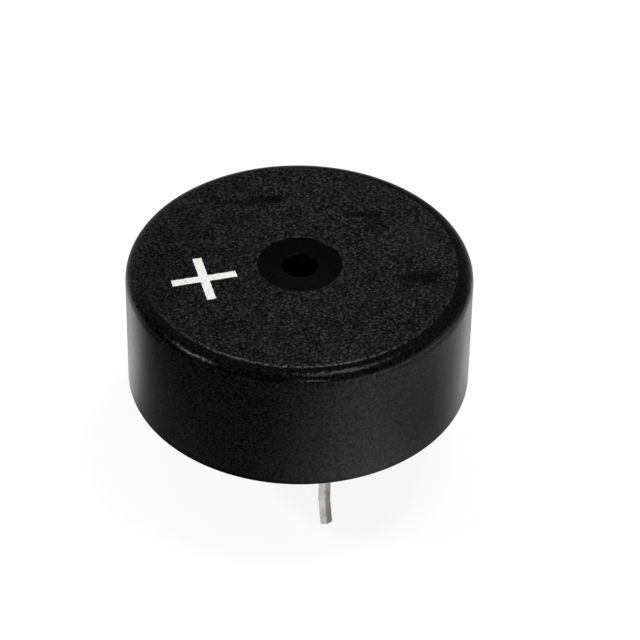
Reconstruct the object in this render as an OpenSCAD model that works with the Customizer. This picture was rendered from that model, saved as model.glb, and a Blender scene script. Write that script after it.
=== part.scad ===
// Piezo buzzer with its own drive circuit, in a round moulded case with two blade pins.
// Millimetres. The origin is the centre of the plane that sits on the board, and +Z points out of the
// sound hole. The two pins stand on the Y axis.

/* [Case] */
// Diameter of the case at its open end, where it sits on the board
case_d = 24; // [23:0.1:30]
// Draft of the outer wall, in degrees
case_draft = 0.2; // [0.1:0.1:1]
// Radius round the top edge
edge_r = 1; // [0.4:0.1:1.2]
// Thickness of the top wall
top_wall = 1.2; // [0.8:0.1:1.4]
// Thickness of the wall at the open end, round the base cover
rim_wall = 1; // [0.7:0.1:1.3]
// Bevel on the outer edge of the seat
seat_bevel = 0.1; // [0.05:0.05:0.3]
// Width of the step that the base cover rests against
cover_step_w = 0.4; // [0.3:0.05:0.6]
// Width of the step that holds the circuit board down
board_step_w = 0.4; // [0.3:0.05:0.6]
// Width of the ledge that the diaphragm is glued to
ledge_w = 1; // [0.8:0.05:1.3]
// Height of the sound chamber over the diaphragm
chamber_h = 1.2; // [0.8:0.1:1.4]

/* [Top face] */
// Height of the textured face over the smooth edge
texture_rise = 0.06; // [0.02:0.01:0.1]
// Smooth margin between the textured face and the rounded edge
texture_margin = 0.1; // [0.05:0.05:0.5]
// Diameter of the smooth ring round the sound hole
ring_d = 5.8; // [4:0.1:8]
// Depth of the smooth ring under the textured face
ring_depth = 0.12; // [0.05:0.01:0.3]
// Diameter of the sound hole
hole_d = 2.4; // [1.5:0.1:3]
// Bevel on the mouth of the sound hole
hole_bevel = 0.15; // [0.05:0.05:0.3]

/* [Base cover] */
// Thickness of the base cover
cover_t = 1.1; // [0.9:0.1:1.4]
// Depth of the base cover inside the seat
cover_recess = 0.4; // [0.3:0.05:0.6]
// Radial clearance between the base cover and the case
cover_fit = 0.05; // [0.03:0.01:0.1]
// Width of the ring on the base cover that carries the circuit board
skirt_w = 0.8; // [0.5:0.1:1]
// Room under the circuit board
board_gap = 1.2; // [1:0.1:1.4]
// Width of the resin bead round the base cover
bead_w = 0.35; // [0.2:0.05:0.5]
// Height of the resin bead round the base cover
bead_h = 0.25; // [0.1:0.05:0.25]

/* [Pins] */
// Distance of a pin from the outside of the case
pin_inset = 4.5; // [4:0.1:5.5]
// Width of a pin's blade
pin_w = 0.8; // [0.6:0.05:1]
// Sheet thickness of a pin
pin_t = 0.25; // [0.2:0.05:0.4]
// Depth of the crease that stiffens a pin
pin_crease = 0.14; // [0.08:0.02:0.2]
// Length of a pin below the seat
pin_l = 8.1; // [5:0.1:10]
// Width of the shoulders that stop a pin
shoulder_w = 1.8; // [1.5:0.1:2.2]
// Height of the tail that stands out over the circuit board
tail_h = 0.7; // [0.5:0.1:0.9]
// Length of the bent end of the front pin
bend_l = 2.2; // [1:0.1:4]
// Sideways lean of the bent end of the front pin, in degrees
bend_angle = 4.5; // [1:0.5:6]
// Clearance round a pin in its slots
slot_fit = 0.1; // [0.05:0.05:0.15]
// Radius of the resin pocket round a pin
pocket_r = 1.3; // [1.1:0.1:1.5]
// Depth of the resin pocket round a pin
pocket_depth = 0.5; // [0.3:0.1:0.6]
// How far the resin in a pocket bulges out
pocket_bulge = 0.15; // [0.05:0.05:0.2]

/* [Circuit board] */
// Thickness of the circuit board
board_t = 1; // [0.8:0.1:1.2]
// Radial clearance between the circuit board and the case
board_fit = 0.15; // [0.1:0.05:0.2]
// Room for the components between the circuit board and the diaphragm
component_room = 3.05; // [2.6:0.05:4]
// Thickness of the copper on the circuit board
copper_t = 0.07; // [0.05:0.01:0.1]
// Width of a copper track
track_w = 0.6; // [0.4:0.1:0.8]
// Radius of the copper pad round a pin
pin_pad_r = 1.3; // [1.2:0.1:1.4]
// Radius of the copper pad under a lead
lead_pad_r = 0.9; // [0.8:0.1:1]

/* [Components] */
// Length of a chip resistor
chip_l = 2; // [1.8:0.1:2.2]
// Width of a chip resistor
chip_w = 1.25; // [1:0.05:1.4]
// Height of a chip resistor
chip_h = 0.5; // [0.4:0.05:0.6]
// Length of a chip resistor's metal end
chip_end_l = 0.4; // [0.3:0.05:0.5]
// How far a chip resistor's metal ends stand proud of its body
chip_end_t = 0.03; // [0.02:0.01:0.05]
// Length of the transistor's moulded body
body_l = 2.9; // [2.7:0.1:3.1]
// Width of the transistor's moulded body
body_w = 1.3; // [1.2:0.05:1.4]
// Height of the transistor's moulded body
body_h = 0.95; // [0.8:0.05:1]
// Gap under the transistor's moulded body
body_lift = 0.08; // [0.05:0.01:0.12]
// Distance from the transistor's middle to the end of each foot
foot_reach = 1.3; // [1.2:0.05:1.4]
// Length of the flat end of each foot
foot_flat = 0.3; // [0.2:0.05:0.35]
// Width of each foot
foot_w = 0.42; // [0.35:0.01:0.5]
// Sheet thickness of each foot
foot_t = 0.12; // [0.1:0.01:0.15]
// Sideways run of the sloping part of each foot
foot_run = 0.24; // [0.15:0.01:0.25]
// Distance between the transistor's two feet on one side
foot_pitch = 1.9; // [1.8:0.05:2]
// Distance of the bias resistor from the transistor
bias_offset = 3.2; // [2.8:0.1:3.6]
// Gap between the feedback resistor and its lead's solder joint
feedback_gap = 0.6; // [0.4:0.1:1]
// Length of the solder fillet at the end of a foot or a chip
fillet_l = 0.3; // [0.2:0.05:0.4]
// Height of the solder fillet at the end of a chip
fillet_h = 0.3; // [0.2:0.05:0.35]

/* [Diaphragm] */
// Radial clearance between the brass plate and the case
plate_fit = 0.2; // [0.1:0.05:0.3]
// Thickness of the brass plate
plate_t = 0.2; // [0.15:0.01:0.3]
// Thickness of the glue between the ledge and the plate
bond_t = 0.15; // [0.1:0.05:0.25]
// Distance of the glue from the ledge's inner edge
bond_inset = 0.1; // [0.05:0.05:0.2]
// How far the glue wraps under the plate's edge
bond_wrap = 0.35; // [0.2:0.05:0.5]
// How far the glue runs down the wall below the plate
bond_drop = 0.4; // [0.2:0.05:0.5]
// Width of the bare brass round the piezo ceramic
plate_margin = 3; // [2.6:0.1:4]
// Thickness of the piezo ceramic
ceramic_t = 0.22; // [0.15:0.01:0.3]
// Bare edge of the ceramic round its electrodes
electrode_margin = 0.4; // [0.3:0.1:0.8]
// Thickness of the silver electrodes
electrode_t = 0.05; // [0.04:0.01:0.06]
// Width of the tongue-shaped feedback electrode
tongue_w = 2.6; // [2.4:0.1:3]
// Gap between the feedback electrode and the main one
tongue_gap = 0.5; // [0.3:0.1:0.8]
// Distance from the disc's centre to the round end of the feedback electrode
tongue_start = 1.6; // [1:0.1:2]
// Direction of the main electrode's solder joint from the disc's centre, in degrees
main_angle = 110; // [100:5:130]
// Direction of the brass plate's solder joint from the disc's centre, in degrees
ground_angle = 215; // [205:5:220]

/* [Leads] */
// Diameter of a lead over its insulation
lead_d = 0.6; // [0.5:0.05:0.7]
// Diameter of a lead's bare conductor
wire_d = 0.26; // [0.2:0.02:0.3]
// Clearance between a lead's insulation and the disc
lead_clear = 0.05; // [0.03:0.01:0.1]
// Bend radius of a lead
lead_bend_r = 0.8; // [0.7:0.05:0.9]
// Straight insulated stretch of a lead beside the disc
lead_run = 0.6; // [0.4:0.1:0.8]
// Length of bare conductor between a solder joint and the insulation
strip_gap = 0.1; // [0.05:0.05:0.2]
// Radius of a solder joint on the disc
disc_joint_r = 0.8; // [0.75:0.05:0.9]
// Height of a solder joint on the disc
disc_joint_h = 0.6; // [0.55:0.05:0.65]
// Radius of a lead's solder joint on the circuit board
lead_joint_r = 0.7; // [0.6:0.05:0.75]
// Height of a lead's solder joint on the circuit board
lead_joint_h = 0.45; // [0.3:0.05:0.5]
// Radius of a pin's solder joint on the circuit board
pin_joint_r = 1.1; // [1:0.05:1.15]
// Height of a pin's solder joint on the circuit board
pin_joint_h = 0.55; // [0.4:0.05:0.6]

/* [Hidden] */
$fn = 96;

// How far a cutting shape runs past the face that it cuts
past = 1;

// Radii of the stepped bore, from the open end inwards
seat_r = case_d / 2;
cover_bore_r = seat_r - rim_wall;
board_bore_r = cover_bore_r - cover_step_w;
plate_bore_r = board_bore_r - board_step_w;
chamber_r = plate_bore_r - ledge_w;

// Levels, from the seat up to the textured top
cover_top_z = cover_recess + cover_t;
board_z = cover_top_z + board_gap;
board_top_z = board_z + board_t;
copper_z = board_top_z + copper_t;
plate_z = board_top_z + component_room;
plate_top_z = plate_z + plate_t;
ledge_z = plate_top_z + bond_t;
ceiling_z = ledge_z + chamber_h;
case_h = ceiling_z + top_wall;

// Undersides of the ceramic and of its electrodes
ceramic_z = plate_z - ceramic_t;
electrode_z = ceramic_z - electrode_t;

// Outside of the case
smooth_top_z = case_h - texture_rise;
edge_z = smooth_top_z - edge_r;
shoulder_r = seat_r - edge_z * tan(case_draft);
texture_r = shoulder_r - edge_r - texture_margin;

// Pieces that sit in the stepped bore
cover_r = cover_bore_r - cover_fit;
board_r = board_bore_r - board_fit;
plate_r = plate_bore_r - plate_fit;
ceramic_r = plate_r - plate_margin;
electrode_r = ceramic_r - electrode_margin;

pin_y = seat_r - pin_inset;
pin_spots = [[0, -pin_y], [0, pin_y]];

// Solder joints in the middle of each electrode and of the bare brass, and the heading of each one's lead
main_joint = electrode_r / 2 * [cos(main_angle), sin(main_angle)];
main_heading = 160;
feedback_joint = [(tongue_start + electrode_r) / 2, 0];
feedback_heading = -90;
ground_joint = (ceramic_r + plate_r - bond_wrap) / 2 * [cos(ground_angle), sin(ground_angle)];
ground_heading = ground_angle + 90;

// Where each lead comes down on the circuit board
lead_bare = disc_joint_r + strip_gap;
lead_reach = lead_bare + lead_run + lead_bend_r;
function landing(joint, heading) = joint + lead_reach * [cos(heading), sin(heading)];
main_pad = landing(main_joint, main_heading);
feedback_pad = landing(feedback_joint, feedback_heading);
ground_pad = landing(ground_joint, ground_heading);
lead_pads = [main_pad, feedback_pad, ground_pad];

// Places of the components on the circuit board, each beside what it is wired to
chip_end = chip_l / 2 - chip_end_l / 2;
transistor_at = [0, 0];
load_at = transistor_at + [0, (foot_reach + pin_y - pin_joint_r) / 2];
bias_at = transistor_at + [-bias_offset, chip_end];
feedback_at = feedback_pad - [chip_end, lead_joint_r + feedback_gap + chip_w / 2];

// Middles of the metal ends and feet that are soldered down
collector = transistor_at + [0, foot_reach - foot_flat / 2];
base = transistor_at + [foot_pitch / 2, foot_flat / 2 - foot_reach];
emitter = transistor_at + [-foot_pitch / 2, foot_flat / 2 - foot_reach];
load_ends = [load_at - [0, chip_end], load_at + [0, chip_end]];
bias_ends = [bias_at - [0, chip_end], bias_at + [0, chip_end]];
feedback_ends = [feedback_at - [chip_end, 0], feedback_at + [chip_end, 0]];

// Corners of the copper tracks: supply, collector and its branch, base, feedback, ground and its branch
nets = [[load_ends[1], pin_spots[1]],
        [collector, load_ends[0]],
        [bias_ends[1], [bias_at[0], load_ends[0][1]], load_ends[0]],
        [[bias_at[0], load_ends[0][1]], main_pad],
        [bias_ends[0], [bias_at[0], transistor_at[1]], [base[0], transistor_at[1]], base,
         [base[0], feedback_at[1]], feedback_ends[0]],
        [feedback_pad, [feedback_pad[0], feedback_at[1]], feedback_ends[1]],
        [emitter, [emitter[0], ground_pad[1]], ground_pad],
        [[emitter[0], ground_pad[1]], [emitter[0], pin_spots[0][1]], pin_spots[0]]];

// Outside of the case on one side of its axis: drafted wall, rounded edge and raised textured face
module outside_profile() {
    polygon([[0, 0], [seat_r - seat_bevel, 0], [seat_r - seat_bevel * tan(case_draft), seat_bevel],
             [shoulder_r, edge_z], [0, edge_z]]);
    translate([0, edge_z]) square([shoulder_r - edge_r, edge_r]);
    translate([shoulder_r - edge_r, edge_z]) circle(r = edge_r);
    polygon([[0, edge_z], [texture_r, edge_z], [texture_r, smooth_top_z],
             [texture_r - texture_rise, case_h], [0, case_h]]);
}

// Bore of the case on one side of its axis: it steps in for the cover, the board and the diaphragm
module bore_profile() {
    polygon([[0, -past], [cover_bore_r, -past], [cover_bore_r, cover_top_z], [board_bore_r, cover_top_z],
             [board_bore_r, board_top_z], [plate_bore_r, board_top_z], [plate_bore_r, ledge_z],
             [chamber_r, ledge_z], [chamber_r, ceiling_z], [0, ceiling_z]]);
}

// Sound hole, its bevel and the smooth ring round it, on one side of the axis
module outlet_profile() {
    floor_z = case_h - ring_depth;
    polygon([[0, ceiling_z - past], [hole_d / 2, ceiling_z - past], [hole_d / 2, floor_z - hole_bevel],
             [hole_d / 2 + hole_bevel, floor_z], [ring_d / 2 - ring_depth, floor_z],
             [ring_d / 2 + past, case_h + past], [0, case_h + past]]);
}

// Black moulded cup
module case() {
    color([0.05, 0.05, 0.055]) difference() {
        rotate_extrude() outside_profile();
        rotate_extrude() bore_profile();
        rotate_extrude() outlet_profile();
    }
}

// Section of a pin's blade: a sheet with a crease down its middle, whose ridge faces -Y
module blade_section() {
    half = (pin_t + pin_crease) / 2;
    polygon([[-pin_w / 2, pin_crease - half], [0, -half], [pin_w / 2, pin_crease - half],
             [pin_w / 2, half], [0, half - pin_crease], [-pin_w / 2, half]]);
}

// One pin on the Z axis, with the bent length at its lower end
module pin(bent_l, lean) {
    half = (pin_t + pin_crease) / 2;
    knee_z = bent_l - pin_l;
    translate([0, 0, knee_z]) linear_extrude(board_top_z + tail_h - knee_z) blade_section();
    translate([-shoulder_w / 2, pin_crease - half, cover_top_z]) cube([shoulder_w, pin_t, board_gap]);
    if (bent_l > 0)
        translate([0, 0, knee_z]) rotate([0, -lean, 0])
            translate([0, 0, -bent_l]) linear_extrude(bent_l + pin_t) blade_section();
}

module pin_front() {
    color([0.78, 0.78, 0.76]) translate(pin_spots[0]) pin(bend_l, bend_angle);
}

module pin_back() {
    color([0.78, 0.78, 0.76]) translate(pin_spots[1]) rotate([0, 0, 180]) pin(0, 0);
}

// Slots that the two pins pass through, between two levels
module pin_slots(low, high) {
    for (spot = pin_spots)
        translate([spot[0], spot[1], (low + high) / 2])
            cube([pin_w + 2 * slot_fit, pin_t + pin_crease + 2 * slot_fit, high - low], center = true);
}

// Black moulded disc that closes the case, with a ring inside that carries the circuit board
module base_cover() {
    color([0.07, 0.07, 0.075]) difference() {
        union() {
            translate([0, 0, cover_recess]) cylinder(r = cover_r, h = cover_t);
            translate([0, 0, cover_recess]) cylinder(r = board_r, h = board_z - cover_recess);
        }
        translate([0, 0, cover_top_z]) cylinder(r = board_r - skirt_w, h = board_gap + past);
        pin_slots(0, board_z);
        for (spot = pin_spots)
            translate([spot[0], spot[1], cover_recess - past])
                cylinder(r = pocket_r, h = past + pocket_depth);
    }
}

// Bead of resin in the corner between the base cover and the case
module cover_seal() {
    color([0.12, 0.1, 0.08]) rotate_extrude()
        polygon([[cover_bore_r, cover_recess], [cover_bore_r - bead_w, cover_recess],
                 [cover_bore_r, cover_recess - bead_h]]);
}

// Radius of the sphere whose cap has the given radius at its rim and the given height
function cap_sphere_r(rim_r, height) = (rim_r * rim_r + height * height) / (2 * height);

// Resin that fills the pocket round each pin and bulges a little
module pin_seals() {
    bulge_r = cap_sphere_r(pocket_r, pocket_bulge);
    color([0.12, 0.1, 0.08]) difference() {
        for (spot = pin_spots)
            translate([spot[0], spot[1], cover_recess]) intersection() {
                translate([0, 0, -pocket_bulge - past])
                    cylinder(r = pocket_r, h = pocket_depth + pocket_bulge + past);
                translate([0, 0, bulge_r - pocket_bulge]) sphere(r = bulge_r);
            }
        pin_front();
        pin_back();
    }
}

// Straight copper between two points, half a track's width longer at each end
module track(from, to) {
    run = to - from;
    translate(from) rotate(atan2(run[1], run[0])) translate([-track_w / 2, -track_w / 2])
        square([norm(run) + track_w, track_w]);
}

// Copper land under a metal end or foot, with room for its solder
module land(at, size) {
    translate(at) square([size[0] + 2 * fillet_l, size[1] + 2 * fillet_l], center = true);
}

// Round board with its copper on the side that faces the diaphragm
module circuit_board() {
    color([0.62, 0.52, 0.25]) difference() {
        union() {
            translate([0, 0, board_z]) cylinder(r = board_r, h = board_t);
            translate([0, 0, board_top_z]) linear_extrude(copper_t) {
                for (net = nets, i = [1 : len(net) - 1]) track(net[i - 1], net[i]);
                for (at = concat(load_ends, bias_ends)) land(at, [chip_w, chip_end_l]);
                for (at = feedback_ends) land(at, [chip_end_l, chip_w]);
                for (at = [collector, base, emitter]) land(at, [foot_w, foot_flat]);
                for (at = pin_spots) translate(at) circle(r = pin_pad_r);
                for (at = lead_pads) translate(at) circle(r = lead_pad_r);
            }
        }
        pin_slots(board_z - past, copper_z + past);
    }
}

// Gull-wing foot that leaves the transistor's body along +Y
module foot() {
    exit_z = body_lift + (body_h - foot_t) / 2;
    root = body_w / 2 - foot_t;
    out = foot_reach - foot_flat;
    rotate([90, 0, 90]) translate([0, 0, -foot_w / 2]) linear_extrude(foot_w)
        polygon([[root, exit_z], [root, exit_z + foot_t], [out - foot_run + foot_t, exit_z + foot_t],
                 [out + foot_t, foot_t], [foot_reach, foot_t], [foot_reach, 0], [out, 0],
                 [out - foot_run, exit_z]]);
}

// Point on the copper, under the middle of a component
function on_copper(spot) = [spot[0], spot[1], copper_z];

module transistor() {
    color([0.1, 0.1, 0.1]) translate(on_copper(transistor_at)) {
        translate([-body_l / 2, -body_w / 2, body_lift]) cube([body_l, body_w, body_h]);
        foot();
        for (side = [-1, 1]) translate([side * foot_pitch / 2, 0, 0]) rotate(180) foot();
    }
}

// Chip resistor with its metal ends along X
module chip() {
    translate([-chip_l / 2 + chip_end_l / 2, -chip_w / 2 + chip_end_t, chip_end_t])
        cube([chip_l - chip_end_l, chip_w - 2 * chip_end_t, chip_h - 2 * chip_end_t]);
    for (side = [-1, 1])
        translate([side * chip_end - chip_end_l / 2, -chip_w / 2, 0]) cube([chip_end_l, chip_w, chip_h]);
}

module resistor_load() {
    color([0.85, 0.85, 0.82]) translate(on_copper(load_at)) rotate(90) chip();
}

module resistor_bias() {
    color([0.85, 0.85, 0.82]) translate(on_copper(bias_at)) rotate(90) chip();
}

module resistor_feedback() {
    color([0.85, 0.85, 0.82]) translate(on_copper(feedback_at)) chip();
}

// Wedge of solder that climbs the end of a chip or foot, at a distance along +X
module solder_wedge(reach, width, height) {
    translate([reach, 0, 0]) rotate([90, 0, 0]) translate([0, 0, -width / 2]) linear_extrude(width)
        polygon([[0, 0], [fillet_l, 0], [0, height]]);
}

// Solder that holds the pins, the leads, the chips and the transistor to the copper
module board_solder_joints() {
    color([0.75, 0.76, 0.78]) {
        difference() {
            for (spot = pin_spots)
                translate(on_copper(spot))
                    cylinder(r1 = pin_joint_r, r2 = pin_w / 2 + slot_fit, h = pin_joint_h);
            pin_front();
            pin_back();
        }
        difference() {
            for (spot = lead_pads)
                translate(on_copper(spot)) cylinder(r1 = lead_joint_r, r2 = wire_d, h = lead_joint_h);
            for (spot = lead_pads)
                translate(on_copper(spot) - [0, 0, past]) cylinder(d = wire_d, h = lead_joint_h + 2 * past);
        }
        for (spot = [load_at, bias_at], turn = [90, 270])
            translate(on_copper(spot)) rotate(turn) solder_wedge(chip_l / 2, chip_w, fillet_h);
        for (turn = [0, 180])
            translate(on_copper(feedback_at)) rotate(turn) solder_wedge(chip_l / 2, chip_w, fillet_h);
        translate(on_copper(transistor_at)) {
            rotate(90) solder_wedge(foot_reach, foot_w, foot_t);
            for (side = [-1, 1])
                translate([side * foot_pitch / 2, 0, 0]) rotate(270)
                    solder_wedge(foot_reach, foot_w, foot_t);
        }
    }
}

// Brass disc that carries the ceramic
module diaphragm_plate() {
    color([0.8, 0.66, 0.3]) translate([0, 0, plate_z]) cylinder(r = plate_r, h = plate_t);
}

module piezo_ceramic() {
    color([0.85, 0.83, 0.76]) translate([0, 0, ceramic_z]) cylinder(r = ceramic_r, h = ceramic_t);
}

// Tongue that runs in from the electrodes' edge to its round end, wider all round by the given amount
module tongue(grow) {
    half = tongue_w / 2 + grow;
    translate([tongue_start + tongue_w / 2, 0]) circle(r = half);
    translate([tongue_start + tongue_w / 2, -half]) square([ceramic_r, 2 * half]);
}

// Silver on the ceramic, all but the place of the feedback electrode
module main_electrode() {
    color([0.86, 0.86, 0.84]) translate([0, 0, electrode_z]) linear_extrude(electrode_t) difference() {
        circle(r = electrode_r);
        tongue(tongue_gap);
    }
}

module feedback_electrode() {
    color([0.86, 0.86, 0.84]) translate([0, 0, electrode_z]) linear_extrude(electrode_t) intersection() {
        circle(r = electrode_r);
        tongue(0);
    }
}

// Silicone that bonds the brass disc to the case's ledge and wraps round its edge
module adhesive_ring() {
    color([0.9, 0.9, 0.88]) rotate_extrude()
        polygon([[chamber_r + bond_inset, ledge_z], [plate_bore_r, ledge_z],
                 [plate_bore_r, plate_z - bond_drop], [plate_r - bond_wrap, plate_z], [plate_r, plate_z],
                 [plate_r, plate_top_z], [chamber_r + bond_inset, plate_top_z]]);
}

// Level of a lead's middle beside the surface that it is soldered to
function lead_level(surface_z) = surface_z - lead_clear - lead_d / 2;

// Lead from a joint on the disc: along the disc, round one bend, and down to the circuit board
module lead(joint, heading, surface_z) {
    level = lead_level(surface_z);
    bare_z = copper_z + lead_joint_h + strip_gap;
    translate([joint[0], joint[1], 0]) rotate(heading) {
        translate([0, 0, level]) rotate([0, 90, 0]) cylinder(d = wire_d, h = lead_bare + wire_d);
        translate([lead_bare, 0, level]) rotate([0, 90, 0]) cylinder(d = lead_d, h = lead_run);
        translate([lead_bare + lead_run, 0, level - lead_bend_r]) rotate([90, 0, 0])
            rotate_extrude(angle = 90) translate([lead_bend_r, 0]) circle(d = lead_d);
        translate([lead_reach, 0, bare_z]) cylinder(d = lead_d, h = level - lead_bend_r - bare_z);
        translate([lead_reach, 0, copper_z]) cylinder(d = wire_d, h = bare_z - copper_z + wire_d);
    }
}

module lead_main() {
    color([0.8, 0.1, 0.08]) lead(main_joint, main_heading, electrode_z);
}

module lead_feedback() {
    color([0.9, 0.9, 0.88]) lead(feedback_joint, feedback_heading, electrode_z);
}

module lead_ground() {
    color([0.08, 0.08, 0.08]) lead(ground_joint, ground_heading, plate_z);
}

// Drop of solder that hangs from a surface, round the bare end of a lead
module disc_joint(joint, heading, surface_z) {
    ball_r = cap_sphere_r(disc_joint_r, disc_joint_h);
    translate([joint[0], joint[1], surface_z]) rotate(heading) difference() {
        translate([0, 0, ball_r - disc_joint_h]) sphere(r = ball_r);
        cylinder(r = ball_r + past, h = 2 * ball_r);
        translate([0, 0, lead_level(0)]) rotate([0, 90, 0]) cylinder(d = wire_d, h = lead_bare);
    }
}

module disc_solder_joints() {
    color([0.75, 0.76, 0.78]) {
        disc_joint(main_joint, main_heading, electrode_z);
        disc_joint(feedback_joint, feedback_heading, electrode_z);
        disc_joint(ground_joint, ground_heading, plate_z);
    }
}

case();
base_cover();
cover_seal();
pin_front();
pin_back();
pin_seals();
circuit_board();
transistor();
resistor_load();
resistor_bias();
resistor_feedback();
board_solder_joints();
diaphragm_plate();
piezo_ceramic();
main_electrode();
feedback_electrode();
adhesive_ring();
lead_main();
lead_feedback();
lead_ground();
disc_solder_joints();
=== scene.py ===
"""Round black piezo buzzer: moulded case, two blade pins, and the diaphragm and drive circuit inside."""
import math

import bmesh
import bpy
from mathutils import Matrix, Vector, noise


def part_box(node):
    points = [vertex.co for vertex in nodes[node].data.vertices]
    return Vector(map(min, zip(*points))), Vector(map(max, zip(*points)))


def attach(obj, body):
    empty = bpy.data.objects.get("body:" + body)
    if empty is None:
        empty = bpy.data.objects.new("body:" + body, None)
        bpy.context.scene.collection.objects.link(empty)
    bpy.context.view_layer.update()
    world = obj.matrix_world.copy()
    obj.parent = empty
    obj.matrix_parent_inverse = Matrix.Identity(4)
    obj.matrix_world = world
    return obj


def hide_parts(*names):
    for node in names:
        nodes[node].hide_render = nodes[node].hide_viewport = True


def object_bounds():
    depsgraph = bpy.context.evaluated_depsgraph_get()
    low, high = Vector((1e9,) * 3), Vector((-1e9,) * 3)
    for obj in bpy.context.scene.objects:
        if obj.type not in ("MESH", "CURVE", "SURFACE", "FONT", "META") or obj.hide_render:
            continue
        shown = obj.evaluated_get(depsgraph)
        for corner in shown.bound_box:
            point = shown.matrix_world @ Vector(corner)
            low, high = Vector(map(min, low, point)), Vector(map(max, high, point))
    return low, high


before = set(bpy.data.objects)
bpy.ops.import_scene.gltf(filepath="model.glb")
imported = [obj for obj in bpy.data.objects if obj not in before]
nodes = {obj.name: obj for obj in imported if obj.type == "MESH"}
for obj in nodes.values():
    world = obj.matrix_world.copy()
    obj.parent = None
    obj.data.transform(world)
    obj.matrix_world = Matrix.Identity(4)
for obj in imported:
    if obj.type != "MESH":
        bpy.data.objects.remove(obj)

scene = bpy.context.scene
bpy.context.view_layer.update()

# ---------------------------------------------------------------- camera
# The photograph's viewpoint: 39 degrees above the table and 15 degrees round from the front pin,
# 199 mm from the middle of the top, which lands left of and above the picture's centre.
view_elevation = math.radians(38.838)
view_bearing = math.radians(-15)
view_distance = 0.199196
view_focal = 2903.49          # in pixels of a picture 640 pixels wide
view_roll = math.radians(-0.694)
top_centre = Vector((0, 0, 0.0095))
top_centre_px = (299.025, 263.947)

towards_eye = Vector((math.sin(view_bearing) * math.cos(view_elevation),
                      -math.cos(view_bearing) * math.cos(view_elevation),
                      math.sin(view_elevation)))
across = Vector((math.cos(view_bearing), math.sin(view_bearing), 0))
level_view = Matrix((across, towards_eye.cross(across), towards_eye)).transposed()
pan = math.atan((top_centre_px[0] - 320) / view_focal)
tilt = math.atan((320 - top_centre_px[1]) / view_focal)
aim = (level_view @ Matrix.Rotation(pan, 3, "Y") @ Matrix.Rotation(-tilt, 3, "X")
       @ Matrix.Rotation(-view_roll, 3, "Z"))
camera = bpy.data.objects.new("camera", bpy.data.cameras.new("camera"))
camera.data.sensor_width = 36
camera.data.lens = view_focal / 640 * 36
camera.data.clip_start = 0.01
camera.data.clip_end = 20
camera.matrix_world = Matrix.Translation(top_centre + towards_eye * view_distance) @ aim.to_4x4()
scene.collection.objects.link(camera)
scene.camera = camera

# ---------------------------------------------------------------- case
# The real case is one cup of black PBT, injection moulded. The die's bore is polished, so the wall, the
# rounded edge and the ring round the hole are smooth; the die face of the top is spark-eroded to a grain.
wall_r, wall_top_r, edge_r, edge_z = 12.0, 11.9705, 1.0, 8.44
case_corners = [  # radius, height and rounding, in mm, from the seat up, over the top and down the bore
    (wall_r, 0, 0.05), (wall_top_r, edge_z, 0), (10.87, 9.44, 0), (10.81, 9.488, 0.02), (2.95, 9.488, 0.05),
    (2.86, 9.38, 0.05), (1.23, 9.38, 0.1), (1.2, 8.3, 0.05), (9.2, 8.3, 0), (9.2, 7.1, 0.05), (10.2, 7.1, 0),
    (10.2, 3.7, 0.05), (10.6, 3.7, 0), (10.6, 1.5, 0.05), (11, 1.5, 0), (11, 0, 0.03)]
turn_steps = 384


def outline(corners):
    """The corners as points in metres, each rounded one as a short arc."""
    points = []
    for i, (r, z, rounding) in enumerate(corners):
        here = Vector((r, z))
        before, after = Vector(corners[i - 1][:2]), Vector(corners[(i + 1) % len(corners)][:2])
        if rounding:
            a, b = (before - here).normalized(), (after - here).normalized()
            half = a.angle(b) / 2
            middle = here + (a + b).normalized() * (rounding / math.sin(half))
            start = here + a * (rounding / math.tan(half)) - middle
            swing = start.angle_signed(here + b * (rounding / math.tan(half)) - middle)
            points += [middle + Matrix.Rotation(-swing * k / 3, 2) @ start for k in range(4)]
        else:
            points.append(here)
        if (r, z) == (wall_top_r, edge_z):
            points += [here + Vector((math.cos(math.radians(a)) - 1, math.sin(math.radians(a)))) * edge_r
                       for a in range(5, 91, 5)]
    return [(p[0] * 0.001, p[1] * 0.001) for p in points]


def srgb(code):
    """Linear colour of an sRGB hex code."""
    parts = [int(code[i:i + 2], 16) / 255 for i in (1, 3, 5)]
    return [c / 12.92 if c <= 0.04045 else ((c + 0.055) / 1.055) ** 2.4 for c in parts] + [1]


def add(tree, kind, settings, **links):
    """Adds a node. Settings are attributes or input values; links are input=socket, in_6 for number 6."""
    node = tree.nodes.new(kind)
    for key, value in settings.items():
        if isinstance(key, int) or key in node.inputs:
            node.inputs[key].default_value = value
        else:
            setattr(node, key, value)
    for key, socket in links.items():
        tree.links.new(socket, node.inputs[int(key[3:]) if key.startswith("in_") else key.replace("_", " ")])
    return node


def material(name):
    """A new material without nodes, its tree, and the Object coordinates that its patterns start from."""
    made = bpy.data.materials.new(name)
    made.use_nodes = True
    made.node_tree.nodes.clear()
    return made, made.node_tree, add(made.node_tree, "ShaderNodeTexCoord", {}).outputs["Object"]


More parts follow.
